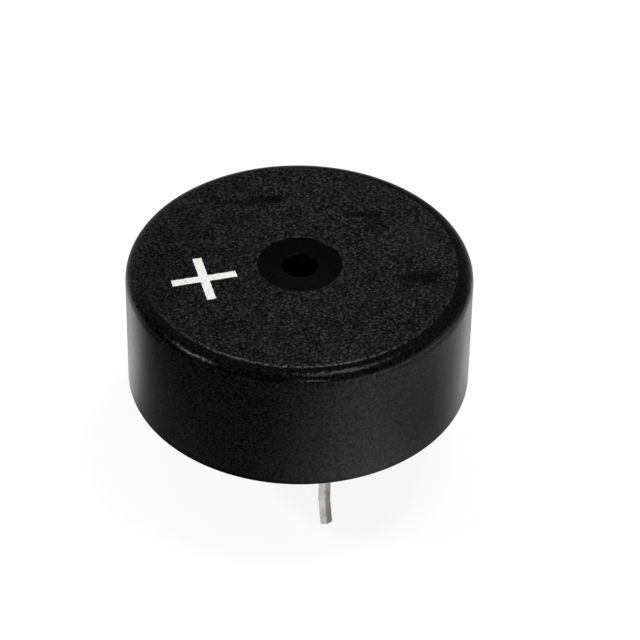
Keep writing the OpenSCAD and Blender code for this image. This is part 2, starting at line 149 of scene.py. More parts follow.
# PBT off the polished bore of the die: a soft gloss with flow marks 2 mm long, and here and there a speck of
# dust on the black. The real haze is finer than a pixel; it is drawn 0.18 mm coarse so that it shows. Along
# the last third of a millimetre of the wall, at its foot by the die's parting line, there is none, and a painted shade
# makes the black deeper and dims the gloss.
wall_pbt, tree, place = material("moulded_pbt_wall")
flow = add(tree, "ShaderNodeTexNoise", {"Scale": 1000 / 2.0, "Detail": 4, "Roughness": 0.6}, Vector=place)
haze = add(tree, "ShaderNodeTexNoise", {"Scale": 1000 / 0.18, "Detail": 2}, Vector=place)
specks = add(tree, "ShaderNodeTexVoronoi", {"Scale": 1000 / 0.8}, Vector=place)
lone = add(tree, "ShaderNodeMath", {"operation": "GREATER_THAN", 1: 0.94}, in_0=specks.outputs["Color"])
spot = add(tree, "ShaderNodeMapRange", {"From Min": 0.1, "From Max": 0.04}, Value=specks.outputs["Distance"])
dust = add(tree, "ShaderNodeMath", {"operation": "MULTIPLY"}, in_0=lone.outputs[0], in_1=spot.outputs[0])
gloss = add(tree, "ShaderNodeMapRange", {"To Min": 0.2, "To Max": 0.3}, Value=flow.outputs[0])
apart = add(tree, "ShaderNodeSeparateXYZ", {}, Vector=place)
# painted shade at the wall's foot: below 0.4 mm the haze fades out, the black deepens and the gloss dims
clear_of_foot_shade = add(tree, "ShaderNodeMapRange", {"From Min": 0.0002, "From Max": 0.0004}, Value=apart.outputs["Z"])
cloud = add(tree, "ShaderNodeMapRange", {"From Min": 0.34, "From Max": 0.7}, Value=haze.outputs[0])
cloud = add(tree, "ShaderNodeMath", {"operation": "MULTIPLY"}, in_0=cloud.outputs[0], in_1=clear_of_foot_shade.outputs[0])
black = add(tree, "ShaderNodeMix", {"data_type": "RGBA", 6: srgb("#000000"), 7: srgb("#1c1c1d")}, in_0=cloud.outputs[0])
colour = add(tree, "ShaderNodeMix", {"data_type": "RGBA", 7: srgb("#4c4c4a")}, in_0=dust.outputs[0],
             in_6=black.outputs[2])
ripple = add(tree, "ShaderNodeBump", {"Strength": 1.0, "Distance": 0.000008}, Height=haze.outputs[0])
# the gloss varies with the haze, and the painted shade at the foot dims it
haze_and_foot_shade_tint = add(tree, "ShaderNodeMix", {"data_type": "RGBA", 6: (0.42, 0.42, 0.42, 1), 7: (1, 1, 1, 1)},
            in_0=cloud.outputs[0])
skin = add(tree, "ShaderNodeBsdfPrincipled", {"IOR": 1.5, "Specular IOR Level": 0.25}, Base_Color=colour.outputs[2],
           Roughness=gloss.outputs[0], Specular_Tint=haze_and_foot_shade_tint.outputs[2], Normal=ripple.outputs[0])
add(tree, "ShaderNodeOutputMaterial", {}, Surface=skin.outputs["BSDF"])

# PBT off the best-polished part of the die, the rounded edge: the darkest and the glossiest. The polish is a
# little wavy, over about a millimetre, so the lamps' reflections run along the edge as broken fine lines.
polished_pbt, tree, place = material("moulded_pbt_polished")
wave = add(tree, "ShaderNodeTexNoise", {"Scale": 1000 / 1.1, "Detail": 2, "Roughness": 0.6}, Vector=place)
haze = add(tree, "ShaderNodeTexNoise", {"Scale": 1000 / 0.2, "Detail": 2}, Vector=place)
gloss = add(tree, "ShaderNodeMapRange", {"From Min": 0.3, "From Max": 0.7, "To Min": 0.14, "To Max": 0.3},
            Value=haze.outputs[0])
cloud = add(tree, "ShaderNodeMapRange", {"From Min": 0.4, "From Max": 0.7}, Value=haze.outputs[0])
black = add(tree, "ShaderNodeMix", {"data_type": "RGBA", 6: srgb("#000000"), 7: srgb("#111112")}, in_0=cloud.outputs[0])
# towards the back left the edge's black turns paler
paler_black = add(tree, "ShaderNodeMix", {"data_type": "RGBA", 6: srgb("#030303"), 7: srgb("#2c2c2c")}, in_0=cloud.outputs[0])
behind = add(tree, "ShaderNodeVectorMath", {"operation": "DOT_PRODUCT", 1: (-50, 87, 0)}, in_0=place)
behind = add(tree, "ShaderNodeMapRange", {"interpolation_type": "SMOOTHSTEP", "From Min": 0.2, "From Max": 0.75},
             Value=behind.outputs["Value"])
black = add(tree, "ShaderNodeMix", {"data_type": "RGBA"}, in_0=behind.outputs[0], in_6=black.outputs[2],
            in_7=paler_black.outputs[2])
relief = add(tree, "ShaderNodeMath", {"operation": "MULTIPLY_ADD", 1: 0.14}, in_0=haze.outputs[0], in_2=wave.outputs[0])
ripple = add(tree, "ShaderNodeBump", {"Strength": 1.0, "Distance": 0.00006}, Height=relief.outputs[0])
skin = add(tree, "ShaderNodeBsdfPrincipled", {"IOR": 1.5, "Specular IOR Level": 0.08},
           Base_Color=black.outputs[2], Roughness=gloss.outputs[0], Normal=ripple.outputs[0])
add(tree, "ShaderNodeOutputMaterial", {}, Surface=skin.outputs["BSDF"])

# PBT off the core and the centre insert, the inside and the sunk ring round the hole: semi-matt, deep black.
core_pbt, tree, place = material("moulded_pbt_core_side")
haze = add(tree, "ShaderNodeTexNoise", {"Scale": 1000 / 0.35, "Detail": 3, "Roughness": 0.6}, Vector=place)
black = add(tree, "ShaderNodeMix", {"data_type": "RGBA", 6: srgb("#000000"), 7: srgb("#0a0a0a")}, in_0=haze.outputs[0])
ripple = add(tree, "ShaderNodeBump", {"Strength": 1.0, "Distance": 0.00001}, Height=haze.outputs[0])
skin = add(tree, "ShaderNodeBsdfPrincipled", {"IOR": 1.5, "Specular IOR Level": 0.03, "Roughness": 0.32},
           Base_Color=black.outputs[2], Normal=ripple.outputs[0])
add(tree, "ShaderNodeOutputMaterial", {}, Surface=skin.outputs["BSDF"])

# PBT off the spark-eroded top of the die: craters about 0.2 mm across. Their rims are paler than their floors,
# which stay black, and the peaks carry pale specks painted as the grain's glints. The grain's pale fades towards the
# left; it is rubbed smooth in a few patches and greyed by wear in one, and a painted highlight runs along its outer
# border as a beaded line, strongest on the front.
crater, peak_gap = 0.18, 0.25
grain_pbt, tree, place = material("moulded_pbt_spark_eroded")
craters = add(tree, "ShaderNodeTexNoise", {"Scale": 1000 / crater, "Detail": 1.5, "Roughness": 0.6}, Vector=place)
broad = add(tree, "ShaderNodeTexNoise", {"Scale": 1000 / 1.1, "Detail": 2}, Vector=place)
rims = add(tree, "ShaderNodeMapRange", {"interpolation_type": "SMOOTHSTEP", "From Min": 0.34, "From Max": 0.74,
                                        "To Max": 0.5}, Value=craters.outputs[0])
# painted glints: pale specks on the grain's peaks, each of its own brightness
peaks = add(tree, "ShaderNodeTexVoronoi", {"voronoi_dimensions": "2D", "Scale": 1000 / peak_gap}, Vector=place)
dot = add(tree, "ShaderNodeMapRange", {"interpolation_type": "SMOOTHSTEP", "From Min": 0.55, "From Max": 0.15},
          Value=peaks.outputs["Distance"])
bright = add(tree, "ShaderNodeMath", {"operation": "POWER", 1: 2.0}, in_0=peaks.outputs["Color"])
painted_glint = add(tree, "ShaderNodeMath", {"operation": "MULTIPLY"}, in_0=dot.outputs[0], in_1=bright.outputs[0])
rims = add(tree, "ShaderNodeMath", {"operation": "MULTIPLY_ADD", 1: 1.35}, in_0=painted_glint.outputs[0], in_2=rims.outputs[0])
# the pale of the grain fades towards the left
rightward = add(tree, "ShaderNodeVectorMath", {"operation": "DOT_PRODUCT", 1: (66, -15, 0)}, in_0=place)
pale_fade = add(tree, "ShaderNodeMapRange", {"From Min": -0.7, "From Max": 0.0, "To Min": 0.62, "To Max": 0.89},
           Value=rightward.outputs["Value"])
uneven = add(tree, "ShaderNodeMapRange", {"From Min": 0.3, "From Max": 0.7, "To Min": 0.7, "To Max": 1.25},
             Value=broad.outputs[0])
uneven = add(tree, "ShaderNodeMath", {"operation": "MULTIPLY"}, in_0=uneven.outputs[0], in_1=pale_fade.outputs[0])
pale = add(tree, "ShaderNodeMath", {"operation": "MULTIPLY"}, in_0=rims.outputs[0],
           in_1=uneven.outputs[0])
rubbed = None
for x, y, half_l, half_w, depth in ((-0.02, 7.47, 1.15, 0.5, 0.9), (-1.99, 7.59, 1.7, 0.45, 0.4),
                                    (5.67, 4.28, 1.9, 0.55, 0.85), (6.18, 2.72, 1.1, 1.1, 0.35),
                                    (7.8, -3.35, 1.9, 0.9, 0.8)):
    over = add(tree, "ShaderNodeMapping", {"vector_type": "TEXTURE", "Location": (x * 0.001, y * 0.001, 0.0095),
                                           "Rotation": (0, 0, math.radians(-13)),
                                           "Scale": (half_l * 0.001, half_w * 0.001, 0.001)}, Vector=place)
    far = add(tree, "ShaderNodeVectorMath", {"operation": "LENGTH"}, in_0=over.outputs[0])
    ragged = add(tree, "ShaderNodeMath", {"operation": "MULTIPLY_ADD", 1: 1.6}, in_0=broad.outputs[0],
                 in_2=far.outputs["Value"])
    patch = add(tree, "ShaderNodeMapRange", {"interpolation_type": "SMOOTHSTEP", "From Min": 1.9, "From Max": 1.2,
                                             "To Max": depth}, Value=ragged.outputs[0])
    rubbed = patch if rubbed is None else add(tree, "ShaderNodeMath", {"operation": "MAXIMUM"},
                                              in_0=rubbed.outputs[0], in_1=patch.outputs[0])
kept = add(tree, "ShaderNodeMath", {"operation": "SUBTRACT", 0: 1.0}, in_1=rubbed.outputs[0])
pale = add(tree, "ShaderNodeMath", {"operation": "MULTIPLY"}, in_0=pale.outputs[0], in_1=kept.outputs[0])
over = add(tree, "ShaderNodeMapping", {"vector_type": "TEXTURE", "Location": (0.0085, 0.0009, 0.0095),
                                       "Rotation": (0, 0, math.radians(-15)), "Scale": (0.0022, 0.003, 0.001)},
           Vector=place)
far = add(tree, "ShaderNodeVectorMath", {"operation": "LENGTH"}, in_0=over.outputs[0])
worn = add(tree, "ShaderNodeMapRange", {"interpolation_type": "SMOOTHSTEP", "From Min": 1, "From Max": 0,
                                        "To Max": 0.16}, Value=far.outputs["Value"])
pale = add(tree, "ShaderNodeMath", {"operation": "ADD"}, in_0=pale.outputs[0], in_1=worn.outputs[0])
# painted highlight: a beaded pale line along the grain's outer border, strongest towards the front
flat = add(tree, "ShaderNodeVectorMath", {"operation": "MULTIPLY", 1: (1, 1, 0)}, in_0=place)
radius = add(tree, "ShaderNodeVectorMath", {"operation": "LENGTH"}, in_0=flat.outputs[0])
off_line = add(tree, "ShaderNodeMath", {"operation": "SUBTRACT", 1: 0.01079}, in_0=radius.outputs["Value"])
off_line = add(tree, "ShaderNodeMath", {"operation": "ABSOLUTE"}, in_0=off_line.outputs[0])
line = add(tree, "ShaderNodeMapRange", {"interpolation_type": "SMOOTHSTEP", "From Min": 0.00012, "From Max": 0.00003},
           Value=off_line.outputs[0])
beads = add(tree, "ShaderNodeMapRange", {"From Min": 0.38, "From Max": 0.62}, Value=craters.outputs[0])
toward = add(tree, "ShaderNodeVectorMath", {"operation": "DOT_PRODUCT", 1: (-24, -90, 0)}, in_0=place)
front = add(tree, "ShaderNodeMapRange", {"interpolation_type": "SMOOTHSTEP", "From Min": 0.6, "From Max": 1.0,
                                         "To Min": 0.1, "To Max": 0.9}, Value=toward.outputs["Value"])
painted_bead_highlight = add(tree, "ShaderNodeMath", {"operation": "MULTIPLY"}, in_0=line.outputs[0], in_1=beads.outputs[0])
painted_bead_highlight = add(tree, "ShaderNodeMath", {"operation": "MULTIPLY"}, in_0=painted_bead_highlight.outputs[0], in_1=front.outputs[0])
colour = add(tree, "ShaderNodeMix", {"data_type": "RGBA", 6: srgb("#010101"), 7: srgb("#3a3a3a")}, in_0=pale.outputs[0])
# the painted bead highlight's colour
colour = add(tree, "ShaderNodeMix", {"data_type": "RGBA", 7: srgb("#5c5c5e")}, in_0=painted_bead_highlight.outputs[0],
             in_6=colour.outputs[2])
relief = add(tree, "ShaderNodeMath", {"operation": "MULTIPLY"}, in_0=craters.outputs[0], in_1=kept.outputs[0])
relief = add(tree, "ShaderNodeBump", {"Strength": 1.0, "Distance": 0.00007}, Height=relief.outputs[0])
skin = add(tree, "ShaderNodeBsdfPrincipled", {"Roughness": 0.5, "IOR": 1.5, "Specular IOR Level": 0.04},
           Base_Color=colour.outputs[2], Normal=relief.outputs[0])
add(tree, "ShaderNodeOutputMaterial", {}, Surface=skin.outputs["BSDF"])


def turned(name, points, finishes, radius=10.0):
    """A closed piece turned round the axis by Geometry Nodes. Each finish is a material, the height in mm
    above which and the radius within which it lies; a later one goes over an earlier one."""
    group = bpy.data.node_groups.new(name + "_turning", "GeometryNodeTree")
    for label, kind in (("Outline", "Geometry"), ("Turning Radius", "Float"), ("Steps", "Int")):
        group.interface.new_socket(label, in_out="INPUT", socket_type="NodeSocket" + kind)
    group.interface.new_socket("Piece", in_out="OUTPUT", socket_type="NodeSocketGeometry")
    given = add(group, "NodeGroupInput", {})
    line = add(group, "GeometryNodeMeshToCurve", {}, Mesh=given.outputs["Outline"])
    path = add(group, "GeometryNodeCurvePrimitiveCircle", {}, Resolution=given.outputs["Steps"],
               Radius=given.outputs["Turning Radius"])
    shell = add(group, "GeometryNodeCurveToMesh", {}, Curve=path.outputs["Curve"], Profile_Curve=line.outputs["Curve"])
    last = add(group, "GeometryNodeRealizeInstances", {}, Geometry=shell.outputs["Mesh"])
    place = add(group, "GeometryNodeInputPosition", {})
    apart = add(group, "ShaderNodeSeparateXYZ", {}, Vector=place.outputs["Position"])
    flat = add(group, "ShaderNodeVectorMath", {"operation": "MULTIPLY", 1: (1, 1, 0)}, in_0=place.outputs["Position"])
    away = add(group, "ShaderNodeVectorMath", {"operation": "LENGTH"}, in_0=flat.outputs[0])
    for skin, lowest, widest in finishes:
        above = add(group, "FunctionNodeCompare", {"operation": "GREATER_THAN", "B": lowest * 0.001}, A=apart.outputs["Z"])
        within = add(group, "FunctionNodeCompare", {"operation": "LESS_THAN", "B": widest * 0.001}, A=away.outputs["Value"])
        both = add(group, "FunctionNodeBooleanMath", {"operation": "AND"}, in_0=above.outputs["Result"],
                   in_1=within.outputs["Result"])
        last = add(group, "GeometryNodeSetMaterial", {"Material": skin}, Geometry=last.outputs["Geometry"],
                   Selection=both.outputs["Boolean"])
    add(group, "NodeGroupOutput", {}, Piece=last.outputs["Geometry"])
    # a point of the outline lands at the path's radius + x and at height -y, so the order turns round too
    mesh = bpy.data.meshes.new(name)
    mesh.from_pydata([(r - radius * 0.001, -z, 0) for r, z in reversed(points)],
                     [(i, (i + 1) % len(points)) for i in range(len(points))], [])
    piece = bpy.data.objects.new(name, mesh)
    scene.collection.objects.link(piece)
    turning = piece.modifiers.new("turning", "NODES")
    turning.node_group = group
    sockets = {s.name: s.identifier for s in group.interface.items_tree if s.in_out == "INPUT"}
    turning[sockets["Turning Radius"]] = radius * 0.001
    turning[sockets["Steps"]] = turn_steps
    bpy.context.view_layer.update()
    plain = bpy.data.meshes.new_from_object(piece.evaluated_get(bpy.context.evaluated_depsgraph_get()))
    piece.modifiers.remove(turning)
    piece.data = plain
    plain.name = name
    plain.shade_smooth()
    plain.set_sharp_from_angle(angle=math.radians(38))
    return piece


case = turned("moulded_case", outline(case_corners), [
    (wall_pbt, -1, 99), (polished_pbt, 8.97, 99), (core_pbt, -1, 10.9), (grain_pbt, 9.45, 99)])
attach(case, "root")
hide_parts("case")

# ---------------------------------------------------------------- printed sign
# A plus sign pad-printed in white ink on the left of the top. The ink is a film some hundredths of a
# millimetre thick; it bridges the grain's small craters, so its border is a little ragged.
sign_at, arm, stroke = (-6.72, 0.0), 2.25, 0.62
ink_from, ink_to = 9.486, 9.5

white_ink, tree, place = material("pad_printed_white_ink")
grain = add(tree, "ShaderNodeTexNoise", {"Scale": 1000 / crater, "Detail": 1.5, "Roughness": 0.6}, Vector=place)
thin = add(tree, "ShaderNodeMapRange", {"From Min": 0.3, "From Max": 0.45}, Value=grain.outputs[0])
colour = add(tree, "ShaderNodeMix", {"data_type": "RGBA", 6: srgb("#d6d6d2"), 7: srgb("#fbfbf8")}, in_0=thin.outputs[0])
bumps = add(tree, "ShaderNodeBump", {"Strength": 0.4, "Distance": 0.00003}, Height=grain.outputs[0])
skin = add(tree, "ShaderNodeBsdfPrincipled", {"Roughness": 0.55, "IOR": 1.5}, Base_Color=colour.outputs[2],
           Normal=bumps.outputs[0])
add(tree, "ShaderNodeOutputMaterial", {}, Surface=skin.outputs["BSDF"])

half = stroke / 2
corners = [(half, half), (half, arm), (-half, arm), (-half, half), (-arm, half), (-arm, -half),
           (-half, -half), (-half, -arm), (half, -arm), (half, -half), (arm, -half), (arm, half)]
noise.seed_set(3)             # without a seed the noise starts from the clock and differs each run
border = []
for i, (x, y) in enumerate(corners):
    nx, ny = corners[(i + 1) % len(corners)]
    count = max(6, round(math.hypot(nx - x, ny - y) / 0.06))
    for k in range(count):
        px, py = x + (nx - x) * k / count, y + (ny - y) * k / count
        wobble = noise.noise_vector(Vector((px * 7, py * 7, 3))) * 0.035
        border.append((sign_at[0] + px + wobble.x, sign_at[1] + py + wobble.y))
build = bmesh.new()
top = build.faces.new([build.verts.new((x * 0.001, y * 0.001, ink_to * 0.001)) for x, y in border])
under = bmesh.ops.extrude_face_region(build, geom=[top])["geom"]
bmesh.ops.translate(build, verts=[v for v in under if isinstance(v, bmesh.types.BMVert)],
                    vec=(0, 0, (ink_from - ink_to) * 0.001))
bmesh.ops.triangulate(build, faces=[f for f in build.faces if len(f.verts) > 4])
bmesh.ops.recalc_face_normals(build, faces=build.faces)
sign_mesh = bpy.data.meshes.new("printed_plus")
build.to_mesh(sign_mesh)
build.free()
sign_mesh.materials.append(white_ink)
sign = bpy.data.objects.new("printed_plus", sign_mesh)
scene.collection.objects.link(sign)
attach(sign, "root")

# ---------------------------------------------------------------- base cover and resin
# The cover is a second moulding of black PBT, pressed into the open end. A bead of epoxy resin seals its
# border, and a drop fills the pocket round each pin; both set to a smooth, slightly brown-black gloss.
cover_pbt, tree, place = material("moulded_pbt_cover")
fine = add(tree, "ShaderNodeTexNoise", {"Scale": 9000, "Detail": 3}, Vector=place)
broad = add(tree, "ShaderNodeTexNoise", {"Scale": 400, "Detail": 3}, Vector=place)
colour = add(tree, "ShaderNodeMix", {"data_type": "RGBA", 6: srgb("#101011"), 7: srgb("#1d1d1e")}, in_0=broad.outputs[0])
gloss = add(tree, "ShaderNodeMapRange", {"To Min": 0.42, "To Max": 0.58}, Value=broad.outputs[0])
relief = add(tree, "ShaderNodeBump", {"Strength": 0.6, "Distance": 0.000015}, Height=fine.outputs[0])
skin = add(tree, "ShaderNodeBsdfPrincipled", {"IOR": 1.5, "Specular IOR Level": 0.3},
           Base_Color=colour.outputs[2], Roughness=gloss.outputs[0], Normal=relief.outputs[0])
add(tree, "ShaderNodeOutputMaterial", {}, Surface=skin.outputs["BSDF"])
nodes["base_cover"].material_slots[0].material = cover_pbt

epoxy, tree, place = material("potting_epoxy")
pull = add(tree, "ShaderNodeTexNoise", {"Scale": 900, "Detail": 2}, Vector=place)
colour = add(tree, "ShaderNodeMix", {"data_type": "RGBA", 6: srgb("#0b0806"), 7: srgb("#1c1510")}, in_0=pull.outputs[0])
waves = add(tree, "ShaderNodeBump", {"Strength": 0.6, "Distance": 0.00008}, Height=pull.outputs[0])
skin = add(tree, "ShaderNodeBsdfPrincipled", {"Roughness": 0.12, "IOR": 1.55, "Specular IOR Level": 0.4},
           Base_Color=colour.outputs[2], Normal=waves.outputs[0])
add(tree, "ShaderNodeOutputMaterial", {}, Surface=skin.outputs["BSDF"])
nodes["cover_seal"].material_slots[0].material = epoxy
nodes["pin_seals"].material_slots[0].material = epoxy

# ---------------------------------------------------------------- pins
# Each pin is a strip of tinned brass, stamped and folded along its middle to a stiff shallow V, and
# pressed through the cover. Stamping leaves its corners slightly rounded, rolling its fine lengthwise lines.
tinned_brass, tree, place = material("tinned_brass_strip")
drawn = add(tree, "ShaderNodeMapping", {"Scale": (14000, 14000, 350)}, Vector=place)
lines = add(tree, "ShaderNodeTexNoise", {"Scale": 1, "Detail": 3, "Roughness": 0.6}, Vector=drawn.outputs[0])
stain = add(tree, "ShaderNodeTexNoise", {"Scale": 900, "Detail": 4}, Vector=place)
colour = add(tree, "ShaderNodeMix", {"data_type": "RGBA", 6: srgb("#b4b3ae"), 7: srgb("#dad9d5")}, in_0=lines.outputs[0])
dull = add(tree, "ShaderNodeMapRange", {"From Min": 0.5, "From Max": 0.75}, Value=stain.outputs[0])
colour = add(tree, "ShaderNodeMix", {"data_type": "RGBA", 7: srgb("#9a978f")}, in_0=dull.outputs[0], in_6=colour.outputs[2])
gloss = add(tree, "ShaderNodeMapRange", {"To Min": 0.32, "To Max": 0.48}, Value=stain.outputs[0])
scratch = add(tree, "ShaderNodeBump", {"Strength": 0.3, "Distance": 0.00001}, Height=lines.outputs[0])
skin = add(tree, "ShaderNodeBsdfPrincipled", {"Metallic": 1.0}, Base_Color=colour.outputs[2],
           Roughness=gloss.outputs[0], Normal=scratch.outputs[0])
add(tree, "ShaderNodeOutputMaterial", {}, Surface=skin.outputs["BSDF"])

corner_r = 0.05
for side in ("front", "back"):
    build = bmesh.new()
    build.from_mesh(nodes["pin_" + side].data)
    bmesh.ops.remove_doubles(build, verts=build.verts, dist=0.000001)
    bmesh.ops.dissolve_limit(build, angle_limit=math.radians(0.5), verts=build.verts, edges=build.edges)
    strip = bpy.data.meshes.new("blade_pin_" + side)
    build.to_mesh(strip)
    build.free()
    strip.materials.append(tinned_brass)
    pin = bpy.data.objects.new("blade_pin_" + side, strip)
    scene.collection.objects.link(pin)
    soft = pin.modifiers.new("soft corners", "BEVEL")
    soft.width, soft.segments, soft.limit_method, soft.angle_limit = corner_r * 0.001, 2, "ANGLE", math.radians(12)
    strip.shade_smooth()
    strip.set_sharp_from_angle(angle=math.radians(30))
    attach(pin, "root")
    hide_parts("pin_" + side)

# ---------------------------------------------------------------- circuit board
# A round single-sided board of brown phenolic paper laminate; its etched copper tracks lie on the upper
# face, towards the diaphragm, and have dulled to a brown metal.
board_top_z, copper_lift = 3.7, 0.01
laminate, tree, place = material("phenolic_board_with_copper")
fibre = add(tree, "ShaderNodeTexNoise", {"Scale": 3000, "Detail": 4}, Vector=place)
paper = add(tree, "ShaderNodeMix", {"data_type": "RGBA", 6: srgb("#8a6a36"), 7: srgb("#b08c4e")}, in_0=fibre.outputs[0])
copper = add(tree, "ShaderNodeMix", {"data_type": "RGBA", 6: srgb("#8d4f32"), 7: srgb("#c87b55")}, in_0=fibre.outputs[0])
apart = add(tree, "ShaderNodeSeparateXYZ", {}, Vector=place)
raised = add(tree, "ShaderNodeMath", {"operation": "GREATER_THAN", 1: (board_top_z + copper_lift) * 0.001},
             in_0=apart.outputs["Z"])
colour = add(tree, "ShaderNodeMix", {"data_type": "RGBA"}, in_0=raised.outputs[0], in_6=paper.outputs[2], in_7=copper.outputs[2])
relief = add(tree, "ShaderNodeBump", {"Strength": 0.4, "Distance": 0.00001}, Height=fibre.outputs[0])
skin = add(tree, "ShaderNodeBsdfPrincipled", {"Roughness": 0.45}, Base_Color=colour.outputs[2],
           Metallic=raised.outputs[0], Normal=relief.outputs[0])
add(tree, "ShaderNodeOutputMaterial", {}, Surface=skin.outputs["BSDF"])
nodes["circuit_board"].material_slots[0].material = laminate

# ---------------------------------------------------------------- transistor and chip resistors
# The transistor is a small body moulded in black epoxy on three tinned feet. Each resistor is a white
# alumina chip with a black glazed film on its top and a tinned cap on each end.
body_half_w, chip_top_z = 0.65, 4.25
moulded_epoxy, tree, place = material("transistor_epoxy_and_feet")
apart = add(tree, "ShaderNodeSeparateXYZ", {}, Vector=place)
out_of_body = add(tree, "ShaderNodeMath", {"operation": "ABSOLUTE"}, in_0=apart.outputs["Y"])
foot = add(tree, "ShaderNodeMath", {"operation": "GREATER_THAN", 1: (body_half_w + 0.01) * 0.001}, in_0=out_of_body.outputs[0])
speckle = add(tree, "ShaderNodeTexNoise", {"Scale": 14000, "Detail": 2}, Vector=place)
body = add(tree, "ShaderNodeMix", {"data_type": "RGBA", 6: srgb("#161617"), 7: srgb("#2c2c2d")}, in_0=speckle.outputs[0])
colour = add(tree, "ShaderNodeMix", {"data_type": "RGBA", 7: srgb("#c9c9c6")}, in_0=foot.outputs[0], in_6=body.outputs[2])
relief = add(tree, "ShaderNodeBump", {"Strength": 0.5, "Distance": 0.00001}, Height=speckle.outputs[0])
skin = add(tree, "ShaderNodeBsdfPrincipled", {"Roughness": 0.5}, Base_Color=colour.outputs[2],
           Metallic=foot.outputs[0], Normal=relief.outputs[0])
add(tree, "ShaderNodeOutputMaterial", {}, Surface=skin.outputs["BSDF"])
nodes["transistor"].material_slots[0].material = moulded_epoxy

for name, axis in (("resistor_load", 1), ("resistor_bias", 1), ("resistor_feedback", 0)):
    low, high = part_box(name)
    middle, reach = (low[axis] + high[axis]) / 2, (high[axis] - low[axis]) / 2
    chip, tree, place = material("alumina_chip_" + name.split("_")[1])
    apart = add(tree, "ShaderNodeSeparateXYZ", {}, Vector=place)
    along = add(tree, "ShaderNodeMath", {"operation": "SUBTRACT", 1: middle}, in_0=apart.outputs[axis])
    along = add(tree, "ShaderNodeMath", {"operation": "ABSOLUTE"}, in_0=along.outputs[0])
    cap = add(tree, "ShaderNodeMath", {"operation": "GREATER_THAN", 1: reach - 0.0004}, in_0=along.outputs[0])
    film = add(tree, "ShaderNodeMath", {"operation": "GREATER_THAN", 1: chip_top_z * 0.001 - 0.00003}, in_0=apart.outputs["Z"])
    grit = add(tree, "ShaderNodeTexNoise", {"Scale": 9000, "Detail": 2}, Vector=place)
    alumina = add(tree, "ShaderNodeMix", {"data_type": "RGBA", 6: srgb("#d8d5cc"), 7: srgb("#f0eee8")}, in_0=grit.outputs[0])
    colour = add(tree, "ShaderNodeMix", {"data_type": "RGBA", 7: srgb("#17181a")}, in_0=film.outputs[0], in_6=alumina.outputs[2])
    colour = add(tree, "ShaderNodeMix", {"data_type": "RGBA", 7: srgb("#cfcfcc")}, in_0=cap.outputs[0], in_6=colour.outputs[2])
    skin = add(tree, "ShaderNodeBsdfPrincipled", {"Roughness": 0.4}, Base_Color=colour.outputs[2],
               Metallic=cap.outputs[0])
    add(tree, "ShaderNodeOutputMaterial", {}, Surface=skin.outputs["BSDF"])
    nodes[name].material_slots[0].material = chip

# ---------------------------------------------------------------- solder joints
# Drops of tin solder, bright where they wetted the metal and a little frosted where they set.
solder, tree, place = material("tin_solder")
frost = add(tree, "ShaderNodeTexNoise", {"Scale": 6000, "Detail": 3}, Vector=place)
colour = add(tree, "ShaderNodeMix", {"data_type": "RGBA", 6: srgb("#a3a5a8"), 7: srgb("#d4d5d6")}, in_0=frost.outputs[0])
gloss = add(tree, "ShaderNodeMapRange", {"To Min": 0.2, "To Max": 0.5}, Value=frost.outputs[0])
dimple = add(tree, "ShaderNodeBump", {"Strength": 0.4, "Distance": 0.00002}, Height=frost.outputs[0])
skin = add(tree, "ShaderNodeBsdfPrincipled", {"Metallic": 1.0}, Base_Color=colour.outputs[2],
           Roughness=gloss.outputs[0], Normal=dimple.outputs[0])
add(tree, "ShaderNodeOutputMaterial", {}, Surface=skin.outputs["BSDF"])
nodes["board_solder_joints"].material_slots[0].material = solder
nodes["disc_solder_joints"].material_slots[0].material = solder

# ---------------------------------------------------------------- diaphragm
# A disc of rolled brass, with a thin disc of piezo ceramic bonded under it. The ceramic carries two
# electrodes of fired silver paste. A ring of translucent white silicone glues the brass to the case's ledge.
rolled_brass, tree, place = material("rolled_brass")
rolled = add(tree, "ShaderNodeMapping", {"Scale": (9000, 300, 300)}, Vector=place)
lines = add(tree, "ShaderNodeTexNoise", {"Scale": 1, "Detail": 3}, Vector=rolled.outputs[0])
tarnish = add(tree, "ShaderNodeTexNoise", {"Scale": 350, "Detail": 4}, Vector=place)
colour = add(tree, "ShaderNodeMix", {"data_type": "RGBA", 6: srgb("#7c5f28"), 7: srgb("#b3924a")}, in_0=tarnish.outputs[0])
gloss = add(tree, "ShaderNodeMapRange", {"To Min": 0.25, "To Max": 0.45}, Value=lines.outputs[0])
relief = add(tree, "ShaderNodeBump", {"Strength": 0.3, "Distance": 0.00001}, Height=lines.outputs[0])
skin = add(tree, "ShaderNodeBsdfPrincipled", {"Metallic": 1.0}, Base_Color=colour.outputs[2],
           Roughness=gloss.outputs[0], Normal=relief.outputs[0])
add(tree, "ShaderNodeOutputMaterial", {}, Surface=skin.outputs["BSDF"])
nodes["diaphragm_plate"].material_slots[0].material = rolled_brass

pressed_ceramic, tree, place = material("pressed_piezo_ceramic")
sinter = add(tree, "ShaderNodeTexNoise", {"Scale": 7000, "Detail": 3}, Vector=place)
colour = add(tree, "ShaderNodeMix", {"data_type": "RGBA", 6: srgb("#c9bf9f"), 7: srgb("#ddd5ba")}, in_0=sinter.outputs[0])
relief = add(tree, "ShaderNodeBump", {"Strength": 0.3, "Distance": 0.00001}, Height=sinter.outputs[0])
skin = add(tree, "ShaderNodeBsdfPrincipled", {"Roughness": 0.6, "IOR": 1.6}, Base_Color=colour.outputs[2],
           Normal=relief.outputs[0])
add(tree, "ShaderNodeOutputMaterial", {}, Surface=skin.outputs["BSDF"])
nodes["piezo_ceramic"].material_slots[0].material = pressed_ceramic

